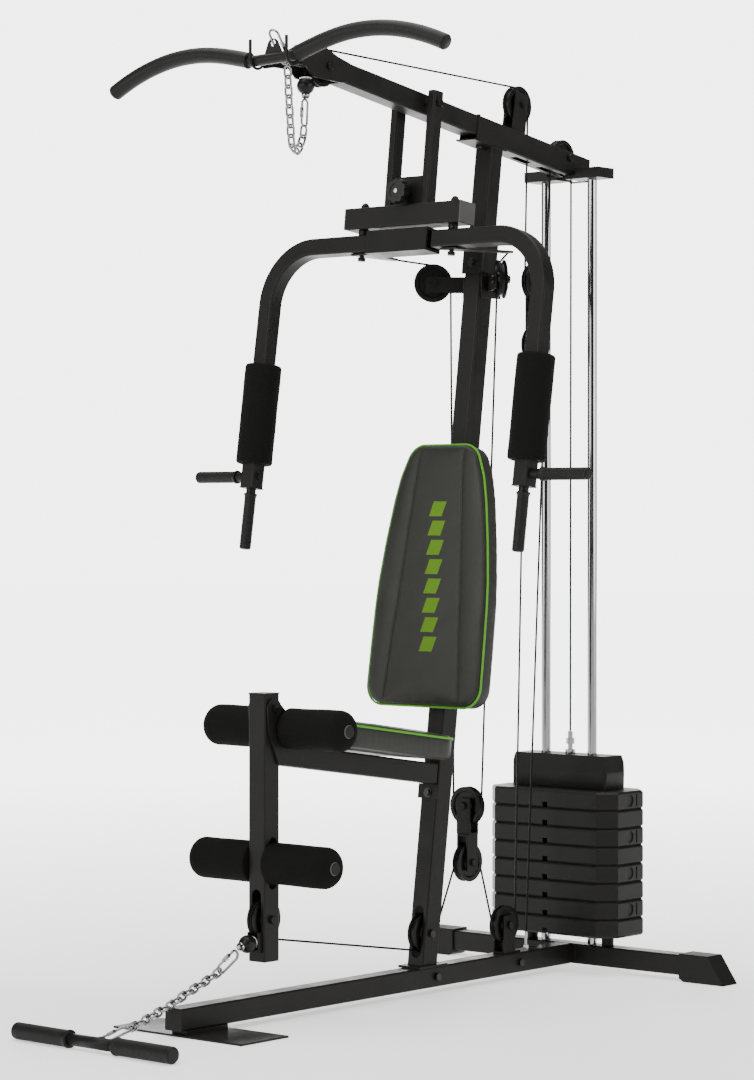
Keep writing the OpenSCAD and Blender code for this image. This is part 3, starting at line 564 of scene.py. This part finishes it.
def roller(name, start, y, z, length, body, seed):
    """Foam sleeve on each side, with a round plug in the end of its tube."""
    parts = []
    sleeve = rounded_profile(43.3, length - 1.5, 26, 12.9)
    cap = [(0, length + 1.0), (11, length + 1.0), (13.4, length + 0.4), (14, length - 0.8), (14, length - 3),
           (12.9, length - 3.2)]
    for s in (-1, 1):
        m = sideways(s * start, y, z, s)
        foam = lathe(name + " foam", sleeve, m, "foam", sides=96, wobble=1.0, seed=seed + s)
        plug = lathe(name + " plug", cap, m, "plug", sides=48)
        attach(plug, body)
        parts.append(foam)
    foam = joined(name, parts)
    foam.data.polygons.foreach_set("use_smooth", [True] * len(foam.data.polygons))
    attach(foam, body)
    return foam


upper = roller("upper roller", 31, -205, 608, 163, "frame", 1.0)
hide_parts("upper_foams")
lower = roller("lower roller", 24, -249, 330, 170, "leg_lever", 5.0)
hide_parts("lower_foams")


def ribbed(r, start, end, pitch=3.2, deep=0.45):
    """Rubber grip: a collar, a ribbed middle and a rounded end."""
    out = [(11.1, start), (r + 1.6, start), (r + 2.0, start + 1.2), (r + 2.0, start + 4), (r + 0.4, start + 5.5)]
    h = start + 8
    while h < end - 9:
        out += [(r, h), (r, h + pitch * 0.45), (r - deep, h + pitch * 0.6), (r - deep, h + pitch * 0.85)]
        h += pitch
    out += [(r, end - 7)]
    for k in range(7):
        a = math.pi / 2 * k / 6
        out.append((r - 5 + 5 * math.cos(a), end - 5 + 5 * math.sin(a)))
    out.append((0, end))
    return out


ARM_REACH = 260
SIDE_GRIP_DROP = 518
for side, body, node in ((-1, "left_arm", "left_arm_grips"), (1, "right_arm", "right_arm_grips")):
    m = arm_frame(side)
    down = m @ Matrix.Translation((ARM_REACH, 0, 0)) @ Matrix.Rotation(math.pi, 4, "Y")
    out = m @ Matrix.Translation((ARM_REACH, 0, -SIDE_GRIP_DROP)) @ Matrix.Rotation(math.pi / 2, 4, "Y")
    profile = [(20, 263), (36, 263), (39, 264.2), (41, 268)] + [(41, 268 + 5.5 * k) for k in range(1, 40)]
    profile += [(41, 484), (39, 487.8), (36, 489), (20, 489)]
    pad = lathe(body + " pad", profile, down, "foam", sides=96, wobble=1.3, seed=side * 2.0)
    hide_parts(node)
    grips = [lathe(body + " lower grip", ribbed(13.2, 556, 682.5), down, "grip_rubber", sides=48),
             lathe(body + " side grip", ribbed(13.2, 44, 167.5), out, "grip_rubber", sides=48)]
    for o in [pad] + grips:
        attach(o, body)


# the bright screw in the middle of the knob
screw = lathe("knob screw", [(0, 4.2), (2.8, 3.8), (4.8, 2.4), (5.2, 0.2), (0, 0)],
              PRESS @ Matrix.Translation((0, -50.2, -201)) @ Matrix.Rotation(math.pi / 2, 4, "X"), "white_metal", 32)
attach(screw, "lock_knob")


# ---------------------------------------------------------------- pull bars
def bar_height(x):
    """How high the lat bar's bent tube runs at x from its middle."""
    if x <= 57:
        return 0.0
    return 31 * math.sin(math.radians(min(90, (x - 57) / 1.9))) - 0.00116 * max(0, x - 229) ** 2


LAT = SITE @ Matrix.Translation((-4, -218, 2008)) @ Matrix.Rotation(math.radians(3.4), 4, "Z") \
    @ Matrix.Rotation(math.radians(-2.1), 4, "Y")
bars = []


def grip_shape(i, n):
    """Rubber sleeve's radius along its rings: a lip at the inner end, rounded at both ends."""
    if i in (0, n - 1):
        return 0.8
    if i in (1, 2):
        return 1.06
    return 0.93 if i == n - 2 else 1.0


for s in (-1, 1):
    line = [LAT @ Vector((s * x, 0, bar_height(x))) for x in [64 + (446 - 64) * k / 191 for k in range(192)]]
    bars.append(tube("lat grip", line, 0.0168, "grip_rubber", sides=40, hint=(0, 1, 0), bumps=grip_shape))
core = [LAT @ Vector((x, 0, bar_height(abs(x)))) for x in range(-70, 71, 5)]
bars.append(tube("lat core", core, 0.0118, "powder_coat", sides=32, hint=(0, 1, 0)))
EYE_R, EYE_Z = 7.2, 31.6
rim = [(-24, 8), (24, 8), (12, 35), (7, 40), (0, 42), (-7, 40), (-12, 35)]
ring = [(EYE_R * math.cos(math.pi / 8 * k), EYE_Z + EYE_R * math.sin(math.pi / 8 * k)) for k in range(16)]


def flat_plate(name, rim, hole, place, thick, mat):
    """Plate in the XZ plane of place with the eye's hole; each hole point joins the nearest rim point."""
    out = spaced([Vector((x, 0, z)) for x, z in rim], 3, closed=True)
    centre = Vector((0, 0, EYE_Z))
    loop = []
    for x, z in hole:
        d = (Vector((x, 0, z)) - centre).normalized()
        loop.append(max(out, key=lambda q: (q - centre).normalized().dot(d)))
    n = len(hole)
    verts = []
    for y in (-thick / 2, thick / 2):
        verts += [place @ Vector((x, y, z)) for x, z in hole] + [place @ Vector((q.x, y, q.z)) for q in loop]
    faces = []
    for k in range(n):
        j = (k + 1) % n
        faces += [(k, j, n + j, n + k), (2 * n + j, 2 * n + k, 3 * n + k, 3 * n + j), (k, 2 * n + k, 2 * n + j, j),
                  (n + j, 3 * n + j, 3 * n + k, n + k)]
    return mesh_object(name, verts, faces, mat, smooth=False)


bars.append(flat_plate("lat eye", rim, ring, LAT, 4, "powder_coat"))
lat_bar = joined("lat bar", bars)
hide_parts("lat_bar")
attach(lat_bar, "lat_bar")

ROW = SITE @ Matrix.Translation((0, -748.5, 17.5)) @ Matrix.Rotation(math.radians(-1.6), 4, "Z")
bars = []
for s in (-1, 1):
    m = ROW @ Matrix.Rotation(math.radians(90 * s), 4, "Y")
    grip = [(12, 66), (18.2, 66), (18.6, 67.5), (18.6, 71), (17.3, 73)]
    h = 76
    while h < 215:
        grip += [(17.3, h), (17.3, h + 1.5), (16.9, h + 2.1), (16.9, h + 2.9)]
        h += 3.4
    grip.append((17.3, 219))
    grip += [(12.3 + 5 * math.cos(math.pi / 12 * k), 221 + 5 * math.sin(math.pi / 12 * k)) for k in range(7)]
    grip.append((0, 226))
    bars.append(lathe("row grip", grip, m, "grip_rubber", sides=56))
bars.append(lathe("row core", [(0, -72), (12.4, -72), (12.4, 72), (0, 72)],
                  ROW @ Matrix.Rotation(math.pi / 2, 4, "Y"), "powder_coat", sides=40))
eye = [ROW @ Vector(p) for p in ((0, 10, -7), (0, 20, -7), (0, 30, -4), (0, 32, 0), (0, 30, 4), (0, 20, 7),
                                 (0, 10, 7))]
bars.append(tube("row eye", smooth_line(eye, 0.003), 0.003, "powder_coat", sides=12))
row_bar = joined("row bar", bars)
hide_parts("row_bar")
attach(row_bar, "row_bar")


# ---------------------------------------------------------------- cables
# wheel centres (y, z), the radius at which a cable lies on them, and the cable's own radius in metres
WRAP = 39.7
NOSE, TOP, REAR = (-78, 2004), (603, 1989), (768, 1881)
UP_FOOT, LEVER, BASE = (266, 133), (-253, 213), (555, 123)
LOW_Y, LOW_UP, LOW_DOWN = 422.5, 402, 275.5
HIGH_Y, HIGH_UP, HIGH_DOWN = 672, 1589, 1445
WIRE = 0.0023


def heading(p, q):
    """Direction of the straight run that touches two wheels (a, b, radius, sense)."""
    d = (q[0] - p[0], q[1] - p[1])
    return math.atan2(d[1], d[0]) - math.asin((q[3] * q[2] - p[3] * p[2]) / math.hypot(*d))


def touch(p, t):
    """Where a run with direction t touches the wheel."""
    return (p[0] + p[3] * p[2] * math.sin(t), p[1] - p[3] * p[2] * math.cos(t))


def runs(stops):
    """Straight runs and wraps of a cable over wheels (a, b, radius, sense), in order."""
    heads = [heading(p, q) for p, q in zip(stops, stops[1:])]
    out = []
    for i, p in enumerate(stops):
        if 0 < i < len(stops) - 1:
            swing = p[3] * ((p[3] * (heads[i] - heads[i - 1])) % (2 * math.pi))
            steps = max(3, int(abs(swing) / 0.12))
            out.append([touch(p, heads[i - 1] + swing * k / steps) for k in range(steps + 1)])
        if i < len(stops) - 1:
            a, b = touch(p, heads[i]), touch(stops[i + 1], heads[i])
            out.append([(a[0] + (b[0] - a[0]) * k / 24, a[1] + (b[1] - a[1]) * k / 24) for k in range(25)])
    return out


def carry(o, carrier):
    """Rides one body, or, for a run between two, is baked in place."""
    if isinstance(carrier, str):
        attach(o, carrier)
    else:
        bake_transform(o)


def cable(name, pieces, carriers):
    """One object per run or wrap; a run over two joints is cut in half."""
    made = []
    for k, (pts, carrier) in enumerate(zip(pieces, carriers)):
        if isinstance(carrier, tuple) and len(carrier) == 3:
            half = len(pts) // 2
            for j, (part, pair) in enumerate(((pts[:half + 1], carrier[:2]), (pts[half:], carrier[1:]))):
                o = tube(f"{name} {k}{'ab'[j]}", part, WIRE, "cable", sides=12)
                carry(o, pair)
                made.append(o)
        else:
            o = tube(f"{name} {k}", pts, WIRE, "cable", sides=12)
            carry(o, carrier)
            made.append(o)
    return made


def in_middle(pieces):
    return [[at(0, y, z) for y, z in p] for p in pieces]


lat_stops = [(-122, 1968, 0, 0), (*NOSE, WRAP, -1), (*TOP, WRAP, -1), (HIGH_Y, HIGH_UP, WRAP, 1),
             (*REAR, WRAP, -1), (805, 550.3, 0, 0)]
lat = cable("lat cable", in_middle(runs(lat_stops)),
            ["frame", "frame", "frame", "frame", ("frame", "high_block"), "high_block", ("high_block", "frame"),
             "frame", ("frame", "weight_stack", "carriage")])
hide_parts("lat_cable")
low_stops = [(-300, 166, 0, 0), (*LEVER, WRAP, 1), (*UP_FOOT, WRAP, 1), (LOW_Y, LOW_DOWN, WRAP, -1),
             (*BASE, WRAP, 1), (HIGH_Y, HIGH_DOWN, WRAP, -1), (637, 99, 0, 0)]
low = cable("low cable", in_middle(runs(low_stops)),
            ["leg_lever", "leg_lever", ("leg_lever", "frame"), "frame", ("frame", "low_block"), "low_block",
             ("low_block", "frame"), "frame", ("frame", "high_block"), "high_block", ("high_block", "frame")])
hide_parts("low_cable")
# Each press cable runs from the arm's tab round a pulley turned towards it, down and under the low block's
# upper wheel.
turned = math.radians(49.6)
for side in (-1, 1):
    d = Vector((-side * math.sin(turned), math.cos(turned), 0))
    centre = Vector((side * 97, 419.5, 1577))
    flat = runs([(-80, 52, 0, 0), (0, 0, WRAP, -1), (WRAP, -300, 0, 0)])
    lines = [[centre + d * a + Vector((0, 0, b)) for a, b in part] for part in flat[:2]]
    down = [lines[1][-1].lerp(Vector((side * WRAP, LOW_Y, LOW_UP)), k / 40) for k in range(41)]
    under = [Vector((side * WRAP * math.cos(a), LOW_Y, LOW_UP - WRAP * math.sin(a)))
             for a in [math.pi / 2 * k / 12 for k in range(13)]]
    arm = "left_arm" if side < 0 else "right_arm"
    made = cable(f"press cable {arm[:-4]}", [[at(*p) for p in part] for part in (*lines, down, under)],
                 [(arm, "press_frame", "frame"), "frame", ("frame", "low_block"), "low_block"])
    if side < 0:
        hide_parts("press_cable")


# ---------------------------------------------------------------- chains and balls
def link(a, b, side, long, wide, wire, steps=28):
    """Closed oval of wire between two points in metres; its sizes are in millimetres."""
    t = (b - a).normalized()
    u = t.cross(Vector(side)).normalized()
    mid = (a + b) / 2
    flat = (long - wide) / 2
    pts = []
    for k in range(steps):
        q = 2 * math.pi * (k + 0.5) / steps
        c = math.cos(q)
        pts.append(mid + (t * (wide / 2 * c + flat * (1 if c > 0 else -1)) + u * wide / 2 * math.sin(q)) / 1000)
    return tube("link", pts, wire / 1000, "chain_steel", sides=10, closed=True, hint=t.cross(u))


def chain(points, count):
    """Links at even steps along the line, each turned a quarter against the last."""
    line = smooth_line([at(*p) for p in points], 0.002)
    total = sum((b - a).length for a, b in zip(line, line[1:]))
    marks = spaced(line, total / count)
    long = total / count * 1000 + 6.4
    return [link(marks[i], marks[i + 1], (1, 0, 0) if i % 2 == 0 else (0, 0.6, 0.8), long, 16.5, 2.6)
            for i in range(len(marks) - 1)]


def snap(a, b, side, long, wide, wire):
    """Carabiner: an oval of wire with a sleeve nut on one flank."""
    parts = [link(a, b, side, long, wide, wire)]
    t = (b - a).normalized()
    u = t.cross(Vector(side)).normalized()
    c = (a + b) / 2 + u * wide / 2000
    line = [c - t * 0.011, c - t * 0.009, c + t * 0.009, c + t * 0.011]
    parts.append(tube("sleeve", line, (wire + 1.6) / 1000, "chain_steel", sides=6, hint=t.cross(u),
                      bumps=lambda i, n: 0.8 if i in (0, n - 1) else 1.0))
    return parts


lat_line = [(0, -127, 1872), (0, -133, 1843), (0, -145, 1822), (0, -158, 1818), (0, -167, 1835), (2, -172, 1870),
            (4, -179, 1925), (6.8, -187, 1992)]
low_line = [(0, -385, 119), (0, -433, 101), (0, -493, 81), (0, -534, 64), (0, -577, 53), (0, -620, 39), (0, -646, 34)]
lat_chain = joined("lat chain", snap(at(0, -124.2, 1930), at(0, -127, 1874.5), (1, 0, 0), 56.5, 17, 2.6)
                   + chain(lat_line, 12)
                   + snap(at(6.8, -236, 2066), at(6.8, -188, 1996), (0, 0.825, 0.565), 80, 24, 2.7))
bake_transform(lat_chain)
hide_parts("lat_chain")
# the low chain is made in two pieces: its first links with the snap at the leg lever, the rest with the snap at the
# row bar; both are baked in place
LEVER_LINKS = 9
links = chain(low_line, 15)
low_chain = joined("low chain", snap(at(0, -333.6, 151.5), at(0, -389.6, 118.5), (1, 0, 0), 64, 20, 2.9)
                   + links[:LEVER_LINKS])
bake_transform(low_chain)
low_end = joined("low chain end", links[LEVER_LINKS:]
                 + snap(at(0, -643, 36), at(0, -724, 18), (0, 0.2, 1), 84, 30, 3.0))
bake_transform(low_end)
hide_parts("low_chain")


def swivel(name, place, body):
    """Pale ring on top of a stop ball, and the threaded cup under it."""
    washer = [(5, 14.5), (12.6, 14.5), (13.4, 15.4), (13.4, 17), (12.4, 18), (5, 18)]
    ring = lathe(name + " ring", washer, place, "white_metal", 48)
    barrel = [(3, -17), (8.6, -17), (9.2, -18), (9.2, -22), (8.4, -23), (5, -23.6), (5, -27), (3, -27.4)]
    cup = lathe(name + " cup", barrel, place, "chrome", 40)
    for o in (ring, cup):
        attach(o, body)


swivel("lat ball", SITE @ Matrix.Translation((0, -122, 1959.5)), "frame")
low_ball = SITE @ Matrix.Translation((0, -303, 165.6)) @ Matrix.Rotation(math.radians(-81.7), 4, "X")
swivel("low ball", low_ball, "leg_lever")


# ---------------------------------------------------------------- floor, light
bpy.ops.mesh.primitive_plane_add(size=60, location=(0, 0, -0.0005))
floor = bpy.context.object
floor.name = "floor"
floor.data.materials.append(MATS["floor"])
# Away from the machine the sheet glows, on the side that backs the picture, so it runs into the background.
NEAR_GLOW, FAR_GLOW = 0.7, 4.2
BACKDROP = (-0.656, 0.755, 0)
t = MATS["floor"].node_tree
away = add(t, "VectorMath", operation="LENGTH")
t.links.new(add(t, "TexCoord").outputs["Object"], away.inputs[0])
glow = add(t, "MapRange", **{"From Min": 0.3, "From Max": 6.0, "To Min": NEAR_GLOW, "To Max": FAR_GLOW})
t.links.new(away.outputs["Value"], glow.inputs["Value"])
along = add(t, "VectorMath", operation="NORMALIZE")
t.links.new(add(t, "TexCoord").outputs["Object"], along.inputs[0])
behind = add(t, "VectorMath", operation="DOT_PRODUCT")
t.links.new(along.outputs["Vector"], behind.inputs[0])
behind.inputs[1].default_value = BACKDROP
sector = add(t, "MapRange", **{"From Min": 0.1, "From Max": 0.65, "To Min": 0.0, "To Max": 1.0})
sector.interpolation_type = "SMOOTHSTEP"
t.links.new(behind.outputs["Value"], sector.inputs["Value"])
lit = add(t, "Mix")
t.links.new(sector.outputs["Result"], lit.inputs[0])
lit.inputs[2].default_value = NEAR_GLOW
t.links.new(glow.outputs["Result"], lit.inputs[3])
t.links.new(lit.outputs[0], t.nodes["Principled BSDF"].inputs["Emission Strength"])
t.nodes["Principled BSDF"].inputs["Emission Color"].default_value = (1, 1, 1, 1)

world = bpy.data.worlds.new("studio")
scene.world = world
world.use_nodes = True
t = world.node_tree
link_up = t.links.new
ray = add(t, "SeparateXYZ")
link_up(add(t, "TexCoord").outputs["Generated"], ray.inputs["Vector"])


def maths(operation, *values):
    n = add(t, "Math", operation=operation)
    for k, value in enumerate(values):
        if isinstance(value, bpy.types.NodeSocket):
            link_up(value, n.inputs[k])
        else:
            n.inputs[k].default_value = value
    return n.outputs[0]


# three soft bright panels round the horizon with dark between them, one of them behind the machine; dim above
PANELS, PANEL_TURN = 3.0, -0.577
PANEL_LIGHT, PANEL_DARK, SKY_LIGHT = 4.8, 0.03, 0.22
round_about = maths("ARCTAN2", ray.outputs["Y"], ray.outputs["X"])
bands = maths("MULTIPLY_ADD", maths("COSINE", maths("MULTIPLY_ADD", round_about, PANELS, PANEL_TURN)), 0.5, 0.5)
level = add(t, "MapRange", **{"From Min": 0.45, "From Max": 0.8, "To Min": PANEL_DARK, "To Max": PANEL_LIGHT})
level.interpolation_type = "SMOOTHSTEP"
link_up(bands, level.inputs["Value"])
height = add(t, "MapRange", **{"From Min": 0.2, "From Max": 0.34, "To Min": 0.0, "To Max": 1.0})
link_up(maths("ABSOLUTE", ray.outputs["Z"]), height.inputs["Value"])
blend_up = add(t, "Mix")
link_up(height.outputs["Result"], blend_up.inputs[0])
link_up(level.outputs["Result"], blend_up.inputs[2])
blend_up.inputs[3].default_value = SKY_LIGHT
background = t.nodes["Background"]
link_up(blend_up.outputs[0], background.inputs["Strength"])
background.inputs["Color"].default_value = (1, 1, 1, 1)


def softbox(name, place, target, size, power):
    data = bpy.data.lights.new(name, "AREA")
    data.shape = "RECTANGLE"
    data.size, data.size_y = size
    data.energy = power
    o = bpy.data.objects.new(name, data)
    scene.collection.objects.link(o)
    o.location = place
    o.rotation_euler = (Vector(target) - Vector(place)).to_track_quat("-Z", "Y").to_euler()


softbox("key", (0.2, -4.6, 3.4), (0, 0, 1.0), (2.2, 2.2), 125)
softbox("fill", (4.4, -0.4, 2.2), (0, 0.2, 1.0), (1.4, 2.6), 13)
softbox("overhead", (0, 0.3, 5.2), (0, 0.3, 0), (6.0, 6.0), 420)
